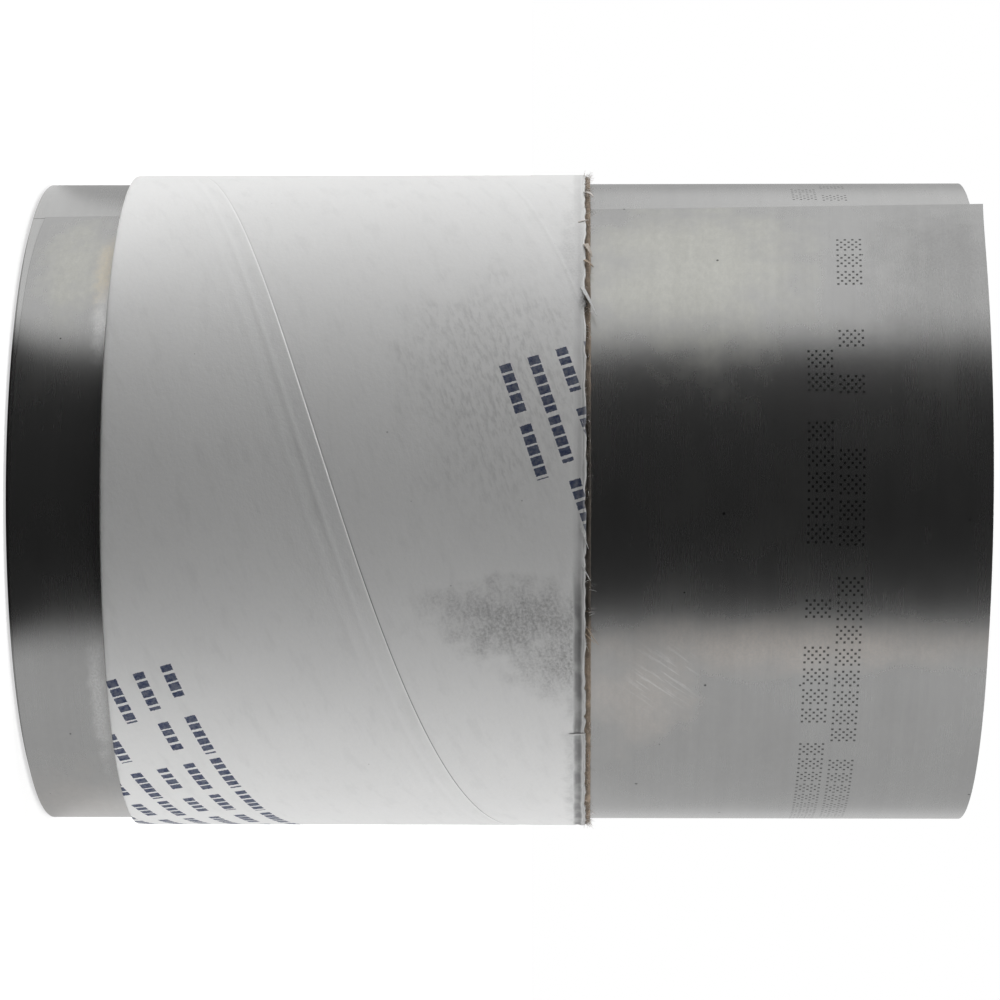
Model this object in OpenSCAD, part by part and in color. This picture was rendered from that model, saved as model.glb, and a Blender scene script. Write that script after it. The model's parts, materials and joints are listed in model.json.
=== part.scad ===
// Steel shim stock: a roll of thin cold-rolled strip held in a short paperboard sleeve.
// The roll stands on its end with its axis along Z. Millimetres, +Z up, the front is -Y.
// The strip is wound as a true spiral of half turns. Each half turn is a round arc, half a
// thickness smaller than the one outside it, and the centre of every second one is set half
// a thickness back, so that each turn lies on the next with one step at the strip's end.

/* [Strip] */
// Width of the strip, which is the height of the roll
strip_w = 152.4; // [60:0.1:320]
// Thickness of the strip
strip_t = 0.381; // [0.15:0.001:0.8]
// Length of strip in the roll
strip_len = 2540; // [900:10:5000]

/* [Winding] */
// Diameter over the outermost turn
roll_d = 107.6; // [90:0.1:180]
// Where the strip's outer end lies, in degrees from +X towards +Y
end_angle = 208.8; // [0:0.1:359]
// How far the outer end is cut out of square, in degrees
end_skew = 1.7; // [0:0.1:5]
// How far the outer end runs up past the turn under it
end_run_out = 2; // [0.2:0.1:3]
// How far each turn is set below the one outside it
turn_drift = 0.12; // [0.02:0.01:0.4]

/* [Sleeve] */
// Length of the sleeve
sleeve_len = 76.2; // [30:0.1:140]
// Wall of the sleeve
sleeve_wall = 1.25; // [0.5:0.05:4]
// Bare strip below the sleeve
sleeve_inset = 14.4; // [0:0.1:60]
// Radial room between the roll and the sleeve
sleeve_room = 0.05; // [0:0.01:0.5]

/* [Hidden] */
$fn = 180;

roll_r = roll_d / 2;
sleeve_bore_r = roll_r + sleeve_room;

// The outer end stands this far past the start of the first half turn, so that its slanted
// cut stays on that half turn.
end_set_back = strip_w / 2 * tan(end_skew) + 2 * strip_t;
end_set_back_deg = end_set_back / roll_r * 180 / PI;

// Half turns are counted from the outside. Even ones turn about the roll's axis and odd ones
// about a centre half a thickness behind it.
function half_r(k) = roll_r - k * strip_t / 2;
function half_centre(k) = k % 2 == 0 ? 0 : -strip_t / 2;

// Number of half turns that take up the whole strip. The first n of them are
// PI * n * (roll_r - strip_t / 2 - strip_t * (n - 1) / 4) long, which is solved for n.
drawn_len = strip_len + end_set_back;
middle_r = roll_r - strip_t / 4;
halves = 2 * (middle_r - sqrt(middle_r * middle_r - strip_t * drawn_len / PI)) / strip_t;
whole_halves = floor(halves);
last_deg = 180 * (halves - whole_halves);

// Height of the strip's lower edge on half turn k. The roll is telescoped a little, so that its
// turns show as steps on both ends, and it stands on the two innermost ones, which are level.
last_turn = floor(whole_halves / 2);
function lower_edge(k) = turn_drift * max(0, last_turn - 1 - floor(k / 2));

// Half turn k of the strip, or part of it
module half_turn(k, sweep = 180, start = 0) {
    translate([half_centre(k), 0, lower_edge(k)])
        rotate([0, 0, start + 180 * (k % 2)])
            rotate_extrude(angle = sweep)
                translate([half_r(k) - strip_t, 0])
                    square([strip_t, strip_w]);
}

// Slab between the strip's two edges where the outer end runs up
module run_out_slab() {
    tilt = atan(end_run_out / roll_r);
    span = 4 * roll_r;
    translate([0, 0, lower_edge(0)])
        rotate([0, -tilt, 0])
            translate([-span / 2, -span / 2, 0])
                cube([span, span, strip_w * cos(tilt)]);
}

// Everything before the slanted cut across the strip's outer end
module end_cut() {
    span = 4 * roll_r;
    rotate([0, 0, end_set_back_deg])
        translate([0, 0, lower_edge(0) + strip_w / 2])
            rotate([end_skew, 0, 0])
                translate([0, -span, -strip_w])
                    cube([span, span, 2 * strip_w]);
}

// First quarter turn of the strip, with its free end
module outer_end() {
    spare = 2 * end_run_out;
    difference() {
        intersection() {
            rotate_extrude(angle = 90)
                translate([roll_r - strip_t, lower_edge(0) - spare])
                    square([strip_t, strip_w + 2 * spare]);
            run_out_slab();
        }
        end_cut();
    }
}

// The whole strip, wound about Z with its outer end along X
module wound_strip() {
    outer_end();
    half_turn(0, 90, 90);
    for (k = [1 : whole_halves - 1])
        half_turn(k);
    half_turn(whole_halves, last_deg);
}

// Roll of steel strip
module steel_roll() {
    color([0.58, 0.58, 0.57])
        rotate([0, 0, end_angle - end_set_back_deg])
            wound_strip();
}

// White-faced paperboard sleeve
module card_sleeve() {
    color([0.86, 0.86, 0.85])
        translate([0, 0, lower_edge(0) + sleeve_inset])
            rotate_extrude()
                translate([sleeve_bore_r, 0])
                    square([sleeve_wall, sleeve_len]);
}

steel_roll();
card_sleeve();
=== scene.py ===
"""Looks of a roll of steel shim stock in its paperboard sleeve, laid out as a Blender add-on."""

import json
import math
from functools import reduce
from typing import NamedTuple

import bmesh
import bpy
import numpy as np
from bpy.props import FloatProperty, FloatVectorProperty, IntProperty, PointerProperty
from mathutils import Matrix, Vector


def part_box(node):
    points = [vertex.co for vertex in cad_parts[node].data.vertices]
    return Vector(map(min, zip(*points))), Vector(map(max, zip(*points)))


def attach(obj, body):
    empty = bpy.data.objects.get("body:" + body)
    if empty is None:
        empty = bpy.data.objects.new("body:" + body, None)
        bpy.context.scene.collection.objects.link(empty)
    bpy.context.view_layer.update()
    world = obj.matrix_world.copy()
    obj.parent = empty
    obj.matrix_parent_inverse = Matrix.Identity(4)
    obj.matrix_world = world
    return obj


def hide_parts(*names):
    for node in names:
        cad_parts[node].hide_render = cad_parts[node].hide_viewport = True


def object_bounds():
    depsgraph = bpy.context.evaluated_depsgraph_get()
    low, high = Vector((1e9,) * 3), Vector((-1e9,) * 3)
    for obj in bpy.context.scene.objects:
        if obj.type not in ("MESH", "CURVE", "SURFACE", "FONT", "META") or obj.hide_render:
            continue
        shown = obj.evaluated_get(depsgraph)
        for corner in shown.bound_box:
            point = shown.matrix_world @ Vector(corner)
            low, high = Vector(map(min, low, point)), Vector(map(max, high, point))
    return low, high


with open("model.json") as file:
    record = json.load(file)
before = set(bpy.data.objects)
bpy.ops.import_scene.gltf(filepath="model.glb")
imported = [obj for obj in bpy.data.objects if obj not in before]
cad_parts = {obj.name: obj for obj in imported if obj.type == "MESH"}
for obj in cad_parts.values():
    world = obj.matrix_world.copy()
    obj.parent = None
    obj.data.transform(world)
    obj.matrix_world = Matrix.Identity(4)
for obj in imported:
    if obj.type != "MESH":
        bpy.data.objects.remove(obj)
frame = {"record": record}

bl_info = {
    "name": "Steel shim stock",
    "version": (1, 0, 0),
    "blender": (4, 5, 0),
    "location": "View3D > Sidebar > Shim stock",
    "description": "Winds a roll of steel strip, puts it in its paperboard sleeve and lights it",
    "category": "Object",
}

# Sizes that come from the frame, in metres
MM = 0.001
CAD_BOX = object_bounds()
ROLL_LOW, ROLL_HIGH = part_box("steel_roll")
SLEEVE_LOW, SLEEVE_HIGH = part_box("card_sleeve")
ROLL_RADIUS = max(map(abs, (ROLL_LOW.x, ROLL_LOW.y, ROLL_HIGH.x, ROLL_HIGH.y)))
SLEEVE_RADIUS = max(map(abs, (SLEEVE_LOW.x, SLEEVE_LOW.y, SLEEVE_HIGH.x, SLEEVE_HIGH.y)))
BORE = next(mount for mount in frame["record"]["mounts"] if mount["name"] == "roll_bore")
STRIP_WIDTH = BORE["dims"]["length_mm"] * MM

# The front of the roll is the line nearest -Y. Arcs are measured from it towards +X.
FRONT_ANGLE = 1.5 * math.pi


def length(name, description, default):
    """A size in metres."""
    return FloatProperty(name=name, description=description, default=default, unit="LENGTH", precision=5)


def angle(name, description, degrees):
    """An angle, kept in radians."""
    return FloatProperty(name=name, description=description, default=math.radians(degrees), subtype="ANGLE")


def whole(name, description, default):
    """A whole number."""
    return IntProperty(name=name, description=description, default=default)


def colour(name, description, default):
    """A scene-linear colour."""
    return FloatVectorProperty(name=name, description=description, default=default, subtype="COLOR", size=3,
                               min=0.0, max=1.0)


class StripSizes(bpy.types.PropertyGroup):
    """Sizes of the wound strip."""

    width: length("Width", "Width of the strip", STRIP_WIDTH)
    thickness: length("Thickness", "Thickness of the strip", 0.381 * MM)
    strip_length: length("Length", "Length of strip in the roll", 2540 * MM)
    outer_radius: length("Outer radius", "Radius over the outermost turn", ROLL_RADIUS)
    seat_gap: length("Seat gap", "Air between one turn and the next", 0.02 * MM)
    corner: length("Corner", "Break on the strip's slit edges", 0.04 * MM)
    end_angle: angle("End angle", "Where the outer end lies, from +X towards +Y", 208.8)
    end_skew: angle("End skew", "How far the outer end is cut out of square", 1.7)
    run_out: length("Run-out", "How far the outer end runs up past the turn under it", 2.0 * MM)
    drift: length("Drift", "How far each turn is set below the one outside it", 0.12 * MM)
    drift_turns: FloatProperty(name="Drifting turns", description="Turns from the outside that drift",
                               default=6.0)
    wander: length("Wander", "How far a turn's edge strays from its level", 0.05 * MM)
    turn_segments: whole("Segments", "Segments in one turn", 220)
    seed: whole("Seed", "Seed of the wander", 4)


class SleeveSizes(bpy.types.PropertyGroup):
    """Sizes of the sleeve."""

    radius: length("Radius", "Outer radius", SLEEVE_RADIUS)
    wall: length("Wall", "Thickness of the wall", 1.25 * MM)
    low: length("Lower end", "Height of the lower end", SLEEVE_LOW.z)
    high: length("Upper end", "Height of the upper end", SLEEVE_HIGH.z)
    helix: angle("Helix", "Climb of the paper round the tube", 18.0)
    seam_height: length("Seam height", "Height at which the seam crosses the front line", 51.9 * MM)
    seam_step: length("Seam step", "Step down from one edge of the paper to the other", 0.08 * MM)
    seam_gap: length("Seam gap", "Depth of the gap along the seam", 0.04 * MM)
    ply: length("Face ply", "Thickness of the white face paper", 0.3 * MM)
    ply_set_back: length("Set-back", "How far the torn face paper ends below the board", 0.9 * MM)
    fray: length("Fray", "How far the torn upper edge wanders", 0.12 * MM)
    crease: length("Crease", "Depth of the crease below the torn edge", 0.10 * MM)
    lip: length("Lip", "How far the torn edge is lifted", 0.06 * MM)
    columns: whole("Columns", "Columns of the mesh round the tube", 540)
    rows: whole("Rows", "Rows of the mesh up the tube", 105)
    seed: whole("Seed", "Seed of the fray", 11)


class FibreSizes(bpy.types.PropertyGroup):
    """Sizes of the torn fibres on the sleeve's upper edge."""

    count: whole("Count", "Number of fibres", 1300)
    fibre_length: length("Length", "Length of a long fibre", 1.5 * MM)
    thickness: length("Thickness", "Thickness of a fibre", 0.07 * MM)
    seed: whole("Seed", "Seed of the fibres' places", 23)


class Looks(bpy.types.PropertyGroup):
    """Colours of the finishes."""

    steel: colour("Steel", "Bright rolled steel", (0.52, 0.52, 0.515))
    oil: colour("Oil film", "Steel under a dried oil film", (0.63, 0.63, 0.58))
    handling: colour("Handling", "Steel dulled by handling", (0.66, 0.615, 0.575))
    stain: colour("Stain", "Tan stain beside the sleeve", (0.70, 0.65, 0.55))
    paper: colour("Paper", "White face paper", (0.83, 0.83, 0.825))
    board: colour("Board", "Brown board", (0.49, 0.38, 0.28))
    # The grime colour also stands for painted shade in the paper's crease, on its torn lip and along its
    # seam.
    grime: colour("Grime", "Metal dust rubbed into the paper", (0.13, 0.13, 0.13))
    ink: colour("Ink", "Blue print on the paper", (0.018, 0.034, 0.10))
    # The marks' colour also paints the dirt and the painted shade along the step at the strip's outer end.
    mark: colour("Mark", "Dark marks sprayed on the steel", (0.03, 0.03, 0.03))
    floor: colour("Floor", "Pale floor", (0.45, 0.45, 0.45))
    glow: colour("Glow", "Light that the camera sees from the floor itself", (0.6, 0.6, 0.6))


class StageSizes(bpy.types.PropertyGroup):
    """Sizes of the stage."""

    camera_distance: length("Camera distance", "From the roll's axis to the camera", 603.0 * MM)
    camera_height: length("Camera height", "Height of the camera", 89.4 * MM)
    aim_height: length("Aim height", "Height on the axis that the camera looks at", 76.0 * MM)
    lens: FloatProperty(name="Lens", description="Focal length on a 36 mm sensor", default=127.8,
                        subtype="DISTANCE_CAMERA")
    floor_size: length("Floor size", "Side of the floor", 12.0)


# Building nodes


class Wire:
    """An output socket of a node tree. Arithmetic on it adds Math nodes."""

    def __init__(self, tree, socket):
        self.tree = tree
        self.socket = socket

    def maths(self, operation, *others):
        """Adds one Math node with this wire as its first input."""
        inputs = dict(enumerate((self, *others)))
        return add(self.tree, "ShaderNodeMath", inputs, operation=operation)[0]

    def __add__(self, other):
        return self.maths("ADD", other)

    def __sub__(self, other):
        return self.maths("SUBTRACT", other)

    def __mul__(self, other):
        return self.maths("MULTIPLY", other)

    def __truediv__(self, other):
        return self.maths("DIVIDE", other)

    def __rsub__(self, other):
        return self.maths("MULTIPLY_ADD", -1.0, other)

    __radd__ = __add__
    __rmul__ = __mul__

    def floor(self):
        return self.maths("FLOOR")

    def size(self):
        return self.maths("ABSOLUTE")

    def below(self, other):
        return self.maths("LESS_THAN", other)

    def above(self, other):
        return self.maths("GREATER_THAN", other)

    def least(self, other):
        return self.maths("MINIMUM", other)

    def most(self, other):
        return self.maths("MAXIMUM", other)

    def spread(self, low, high, to_low=0.0, to_high=1.0):
        """Takes low to high smoothly to another range, and stays in that range."""
        inputs = {"Value": self, "From Min": low, "From Max": high, "To Min": to_low, "To Max": to_high}
        return add(self.tree, "ShaderNodeMapRange", inputs, interpolation_type="SMOOTHSTEP")["Result"]


def plug(tree, value, socket):
    """Links a wire to a socket, or sets the socket's own value."""
    if isinstance(value, Wire):
        tree.links.new(value.socket, socket)
    else:
        socket.default_value = value


def add(tree, kind, inputs=None, **settings):
    """Adds a node with its settings and its inputs, and gives its outputs by name and by number."""
    node = tree.nodes.new(kind)
    for name, value in settings.items():
        setattr(node, name, value)
    for place, value in (inputs or {}).items():
        plug(tree, value, node.inputs[place])
    outputs = {}
    for number, socket in enumerate(node.outputs):
        outputs.setdefault(socket.name, Wire(tree, socket))
        outputs[number] = Wire(tree, socket)
    return outputs


NUMBER_SOCKETS = {float: "NodeSocketFloat", int: "NodeSocketInt"}


def group_tree(name, kind, inputs, output, output_kind):
    """A node group with one output, as the tree, its input wires and its output socket.

    An input is given by its default number, or by its kind of socket where it has none.
    """
    tree = bpy.data.node_groups.new(name, kind)
    for socket_name, value in inputs.items():
        socket_kind = NUMBER_SOCKETS.get(type(value), value)
        socket = tree.interface.new_socket(socket_name, in_out="INPUT", socket_type=socket_kind)
        if socket_kind != value:
            socket.default_value = value
    tree.interface.new_socket(output, in_out="OUTPUT", socket_type=output_kind)
    wires = add(tree, "NodeGroupInput")
    return tree, wires, tree.nodes.new("NodeGroupOutput").inputs[0]


def shader_group(name, inputs, output):
    """A shader node group that puts out one value."""
    return group_tree(name, "ShaderNodeTree", inputs, output, "NodeSocketFloat")


def shape_tree(name, inputs):
    """A Geometry Nodes tree, from a mesh and its sizes to a shape in its material."""
    inputs = {"Geometry": "NodeSocketGeometry", **inputs, "Material": "NodeSocketMaterial"}
    return group_tree(name, "GeometryNodeTree", inputs, "Geometry", "NodeSocketGeometry")


def use_group(tree, name, inputs):
    """Places a shader node group in a material and gives its output."""
    return add(tree, "ShaderNodeGroup", inputs, node_tree=bpy.data.node_groups[name])[0]


def vector(tree, x, y, z=0.0):
    """A vector from three values."""
    return add(tree, "ShaderNodeCombineXYZ", {0: x, 1: y, 2: z})[0]


def split(tree, value):
    """The three parts of a vector."""
    parts = add(tree, "ShaderNodeSeparateXYZ", {0: value})
    return parts[0], parts[1], parts[2]


def noise(tree, place, scale, detail=2.0, roughness=0.5):
    """Noise from 0 to 1 at a place."""
    inputs = {"Vector": place, "Scale": scale, "Detail": detail, "Roughness": roughness}
    return add(tree, "ShaderNodeTexNoise", inputs)[0]


def mix_colour(tree, factor, first, second):
    """Mixes two colours."""
    node = tree.nodes.new("ShaderNodeMix")
    node.data_type = "RGBA"
    sockets = {socket.identifier: socket for socket in node.inputs}
    for identifier, value in (("Factor_Float", factor), ("A_Color", first), ("B_Color", second)):
        plug(tree, value if isinstance(value, Wire) else (*value, 1.0), sockets[identifier])
    return Wire(tree, next(socket for socket in node.outputs if socket.identifier == "Result_Color"))


def shade(tree, base, tone):
    """A colour made lighter or darker by a tone round 1."""
    first = base if isinstance(base, Wire) else tuple(base)
    return add(tree, "ShaderNodeVectorMath", {"Vector": first, "Scale": tone}, operation="SCALE")["Vector"]


# Effects that several finishes share


def make_grain_group():
    """Fine noise drawn out along a surface, as rolling or felting leaves it."""
    inputs = {"Along": 0.0, "Across": 0.0, "Along Scale": 50.0, "Across Scale": 1000.0, "Detail": 3.0}
    tree, wire, out = shader_group("Drawn grain", inputs, "Tone")
    place = vector(tree, wire["Along"] * wire["Along Scale"], wire["Across"] * wire["Across Scale"])
    plug(tree, noise(tree, place, 1.0, wire["Detail"], 0.6) - 0.5, out)


def make_patch_group():
    """A rubbed or stained patch with a ragged, speckled edge."""
    inputs = {"Along": 0.0, "Across": 0.0, "Centre Along": 0.0, "Centre Across": 0.0, "Half Length": 0.01,
              "Half Width": 0.01, "Ragged": 0.5, "Ragged Scale": 150.0, "Speckle": 0.3}
    tree, wire, out = shader_group("Rubbed patch", inputs, "Mask")
    speckle_scale = 2500.0
    full_within = 0.15
    place = vector(tree, wire["Along"], wire["Across"])
    along = (wire["Along"] - wire["Centre Along"]) / wire["Half Length"]
    across = (wire["Across"] - wire["Centre Across"]) / wire["Half Width"]
    away = (along * along + across * across).maths("SQRT")
    ragged = (noise(tree, place, wire["Ragged Scale"], 3.0, 0.6) - 0.5) * wire["Ragged"] * 2.0
    body = (away + ragged).spread(1.0, full_within)
    speckle = noise(tree, place, speckle_scale, 1.0, 0.65).spread(0.35, 0.65)
    plug(tree, body * (1.0 - wire["Speckle"] * (1.0 - speckle)), out)


def make_speck_group():
    """Scattered round specks."""
    inputs = {"Along": 0.0, "Across": 0.0, "Spacing": 0.005, "Size": 0.05, "Share": 0.3}
    tree, wire, out = shader_group("Specks", inputs, "Mask")
    smallest = 0.4
    place = vector(tree, wire["Along"] / wire["Spacing"], wire["Across"] / wire["Spacing"])
    cell = add(tree, "ShaderNodeTexVoronoi", {"Vector": place, "Scale": 1.0}, voronoi_dimensions="2D")
    pick, scale, _ = split(tree, cell["Color"])
    away = cell["Distance"] / (wire["Size"] * (smallest + scale))
    plug(tree, away.spread(1.0, 0.6) * pick.below(wire["Share"]), out)


def make_print_group():
    """Rows of plain dashes, where a chequer leaves out every second dash of a row."""
    inputs = {"Along": 0.0, "Across": 0.0, "Start": 0.0, "Repeat": 1.0, "First Row": 0.0, "Row Pitch": 0.005,
              "Rows": 1.0, "Row Height": 0.002, "Row Length": 0.05, "Last Row": 1.0, "Dash Pitch": 0.008,
              "Dash Share": 0.8, "Uneven Dashes": 0.4, "Fill": 1.0, "Chequer": 0.0, "Seed": 0.0}
    tree, wire, out = shader_group("Printed rows", inputs, "Mask")

    def chance(*parts):
        return add(tree, "ShaderNodeTexWhiteNoise", {"Vector": vector(tree, *parts)})["Value"]

    row_place = (wire["First Row"] - wire["Across"]) / wire["Row Pitch"] + 0.5
    row = row_place.floor()
    from_middle = (row_place - row - 0.5).size() * wire["Row Pitch"] * 2.0
    in_row = from_middle.below(wire["Row Height"]) * row.above(-0.5) * row.below(wire["Rows"] - 0.5)
    along = (wire["Along"] - wire["Start"]).maths("FLOORED_MODULO", wire["Repeat"])
    is_last = row.above(wire["Rows"] - 1.5)
    in_length = along.below(wire["Row Length"] * (1.0 - is_last * (1.0 - wire["Last Row"])))
    dash_place = along / wire["Dash Pitch"]
    dash = dash_place.floor()
    other_seed = wire["Seed"] + 7.0
    share = wire["Dash Share"] * (1.0 - wire["Uneven Dashes"] * chance(dash, row, wire["Seed"]))
    in_dash = (dash_place - dash).below(share) * chance(dash, row, other_seed).below(wire["Fill"])
    left_out = (dash + row).maths("FLOORED_MODULO", 2.0) * wire["Chequer"]
    plug(tree, in_row * in_length * in_dash * (1.0 - left_out), out)


# Bearing at which the studio's back begins. The floor lies closer to the roll than the walls do, so the
# roll mirrors the same bearing on it from another place.
FLOOR_BACK_FROM = math.radians(113)
WALLS_BACK_FROM = math.radians(141)


def make_studio_group():
    """Brightness of the studio by direction: light walls, a dark front and a ceiling with two softboxes."""
    inputs = {"Direction": "NodeSocketVector", "Back From": 2.5}
    tree, wire, out = shader_group("Studio light", inputs, "Tone")
    # Tones of the walls, the front, the ceiling and the softboxes. The back is a share of the wall beside it.
    left_wall, right_wall = 0.74, 0.52
    left_back, right_back = 0.56, 1.41
    dark_front = 0.03
    beside_back, behind = 1.7, 0.9
    left_softbox, right_softbox = 5.4, 4.5
    # The dark front lies a little to the left. Bearings are in radians.
    front_turn = math.radians(5)
    x, y, z = split(tree, wire["Direction"])
    bearing = x.maths("ARCTAN2", y * -1.0)
    off_axis = bearing.size()
    off_front = (bearing + front_turn).size()
    right = bearing.spread(-0.3, 0.3)
    back = off_axis.spread(wire["Back From"], wire["Back From"] + 0.26)
    back = back * off_axis.spread(math.pi, math.radians(170), 0.3, 1.0)
    walls = (left_wall + right * (right_wall - left_wall)) * off_front.spread(0.75, 1.03, dark_front, 1.0)
    walls = walls * (1.0 + back * (right * (right_back - left_back) + (left_back - 1.0)))
    softboxes = off_front.spread(0.88, 1.16) * off_front.spread(1.79, 1.37)
    softboxes = softboxes * (left_softbox + right * (right_softbox - left_softbox))
    ceiling = off_axis.spread(math.radians(100), math.radians(150), beside_back, behind)
    ceiling = ceiling * off_front.spread(0.82, 1.12)
    high_up = z.size().spread(0.25, 0.65)
    plug(tree, walls + (ceiling + softboxes - walls) * high_up, out)


# Where the surfaces are worn and dirty, and where a shadow is painted on


class Patch(NamedTuple):
    """A rubbed or stained patch: its centre and half sizes in millimetres, its edge and its strength."""

    along: float
    across: float
    half_length: float
    half_width: float
    ragged: float = 0.5
    ragged_scale: float = 150.0
    speckle: float = 0.3
    strength: float = 1.0


# On the steel, by length from the strip's outer end and by height on the strip
OIL_FILM = (Patch(17, 106, 26, 25, ragged=0.7, speckle=0.25),
            Patch(14, 7, 17, 7, ragged=0.8, ragged_scale=220.0))
DULL_CORNER = (Patch(24, 146, 34, 18),)
HANDLED = (Patch(80.5, 122, 6.5, 46, ragged_scale=120.0, speckle=0.35),
           Patch(90, 99, 14, 12, ragged=0.7, strength=0.7),
           Patch(124, 5, 22, 16, ragged=0.6, strength=0.5))
SCRATCHED = (Patch(87, 102, 8, 8),)
TAN_STAIN = (Patch(15, 12.3, 11, 2.3, ragged=0.6, ragged_scale=400.0),)
PAPER_RUBS = (Patch(92, 12.6, 19, 1.8, ragged=0.6, ragged_scale=300.0, speckle=0.5),
              Patch(27, 12.6, 10, 1.6, ragged=0.7, ragged_scale=400.0))

# On the sleeve, by arc from the front line and by height
RUBBED = (Patch(-19, 77, 27, 21, ragged=0.6, speckle=0.2),)
SMUDGED = (Patch(19, 80, 8.5, 18, ragged=0.7, ragged_scale=220.0, speckle=0.1),
           Patch(26, 86.5, 8.5, 10, ragged=0.6, ragged_scale=220.0))
DIRTY_EDGE = (Patch(-44, 90, 26, 4.5, ragged=0.9, ragged_scale=260.0, speckle=0.5, strength=0.2),
              Patch(50, 90, 38, 3.5, ragged=0.9, ragged_scale=300.0, strength=0.3))
# A painted shadow in the gap beside the largest flake.
FLAKE_SHADOW = (Patch(-33.2, 90.6, 3.0, 1.3, ragged=0.4, ragged_scale=700.0, strength=0.95),)


# Finishes


class Surface:
    """A surface laid flat, as its two directions in metres, with the effects that are placed by them."""

    def __init__(self, tree, along, across):
        self.tree = tree
        self.along = along
        self.across = across

    def effect(self, name, sizes):
        """Places a shared effect."""
        return use_group(self.tree, name, {"Along": self.along, "Across": self.across, **sizes})

    def noise(self, *sizes):
        """Noise from 0 to 1."""
        return noise(self.tree, vector(self.tree, self.along, self.across), *sizes)

    def grain(self, along_scale, across_scale, detail=3.0):
        """Drawn grain round 0."""
        sizes = {"Along Scale": along_scale, "Across Scale": across_scale, "Detail": detail}
        return self.effect("Drawn grain", sizes)

    def specks(self, spacing, size, share):
        """The mask of scattered specks, with their spacing in millimetres."""
        return self.effect("Specks", {"Spacing": spacing * MM, "Size": size, "Share": share})

    def printed(self, first, second):
        """The mask of printed rows, as what two kinds of rows have in common, with lengths in metres."""
        return self.effect("Printed rows", first) * self.effect("Printed rows", second)

    def patches(self, spots):
        """The mask of one or more patches, each as strong as it says."""
        masks = []
        for spot in spots:
            sizes = {"Centre Along": spot.along * MM, "Centre Across": spot.across * MM,
                     "Half Length": spot.half_length * MM, "Half Width": spot.half_width * MM,
                     "Ragged": spot.ragged, "Ragged Scale": spot.ragged_scale, "Speckle": spot.speckle}
            mask = self.effect("Rubbed patch", sizes)
            masks.append(mask * spot.strength if spot.strength < 1.0 else mask)
        return reduce(Wire.most, masks)


def mapped_surface(tree, name):
    """The surface that a piece's map lays flat."""
    along, across, _ = split(tree, add(tree, "ShaderNodeUVMap", uv_map=name)["UV"])
    return Surface(tree, along, across)


def new_material(name, values):
    """A material with its tree and its Principled shader, which takes the values."""
    material = bpy.data.materials.new(name)
    material.use_nodes = True
    shader = material.node_tree.nodes["Principled BSDF"]
    for socket, value in values.items():
        shader.inputs[socket].default_value = value
    return material, material.node_tree, shader


def set_surface(tree, shader, base, rough, relief=None):
    """Gives a shader its colour, its roughness and its relief in millimetres."""
    plug(tree, base, shader.inputs["Base Color"])
    plug(tree, rough, shader.inputs["Roughness"])
    if relief is not None:
        bump = add(tree, "ShaderNodeBump", {"Strength": 1.0, "Distance": MM, "Height": relief})
        plug(tree, bump["Normal"], shader.inputs["Normal"])


def steel_finish(looks, strip):
    """Bright rolled steel with grain along the strip, oil film, handling marks and dotted blocks."""
    material, tree, shader = new_material("Rolled steel", {"Metallic": 1.0})
    steel = mapped_surface(tree, "strip")
    fine = steel.grain(60.0, 4200.0)
    broad = steel.grain(6.0, 420.0, 2.0)
    cloud = steel.grain(45.0, 60.0)
    mottle = steel.grain(700.0, 1000.0, 2.0)
    oil = steel.patches(OIL_FILM)
    dull = steel.patches(DULL_CORNER)
    handled = steel.patches(HANDLED)
    stain = steel.patches(TAN_STAIN)
    pale = (steel.patches(PAPER_RUBS) * 0.6).most(scratches(steel) * steel.patches(SCRATCHED) * 0.5)
    # The specks are dirt. The line along the step at the outer end is painted shade under the step, with dirt
    # in it.
    dirt = lap_dirt_and_shade(steel, strip).most(steel.specks(14.0, 0.014, 0.35))
    marks = steel_marks(steel).most(dirt)
    base = looks.steel
    for cover, tint in ((oil * 0.8, looks.oil), (handled * 0.8, looks.handling), (pale, looks.paper),
                        (stain * 0.9, looks.stain), (marks * 0.8, looks.mark)):
        base = mix_colour(tree, cover, base, tint)
    # The steel is lighter from the lap under the outer end on, and the slit edges differ from turn to turn.
    under_lap = steel.along.spread(270 * MM, 310 * MM)
    slit_edge = strip.width / 2 - 0.06 * MM
    slit = (steel.across - strip.width / 2).size().above(slit_edge)
    tone = 1.0 + fine * 0.06 + broad * 0.12 + cloud * 0.16 + under_lap * 0.18 - dull * 0.2
    tone = tone + mottle * (0.08 + oil * 0.16 + handled * 0.12)
    tone = tone * (1.0 - slit * (0.45 + broad * 1.8))
    rough = 0.27 + slit * 0.2 + oil * 0.07 + handled * 0.09 + stain * 0.2 + fine * 0.03 + cloud * 0.08
    waves = steel.noise(55.0, 1.0)
    set_surface(tree, shader, shade(tree, base, tone), rough, fine * 0.0003 + waves * 0.05)
    return material


def scratches(steel):
    """Short scratches that slant across the strip."""
    slant = 0.7
    first = steel.across * math.cos(slant) + steel.along * math.sin(slant)
    second = steel.along * math.cos(slant) - steel.across * math.sin(slant)
    return Surface(steel.tree, first, second).grain(150.0, 1800.0, 2.0).spread(0.02, 0.14)


def lap_dirt_and_shade(steel, strip):
    """Dirt gathered on the second turn along the step at the strip's outer end, with painted shade in the
    corner under the step.
    """
    reach = 5 * MM
    first_turn = math.pi * (2 * strip.outer_radius - 1.5 * strip.thickness)
    step = first_turn - (steel.across - strip.width / 2) * math.tan(strip.end_skew)
    line = (step - steel.along).spread(0.55 * MM, 0.1 * MM)
    line = line * steel.along.above(first_turn - reach) * steel.along.below(step)
    thick = Surface(steel.tree, steel.across, 0.0).noise(260.0, 4.0, 0.7).spread(0.35, 0.75)
    return line * (0.35 + thick * 0.65)


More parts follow.
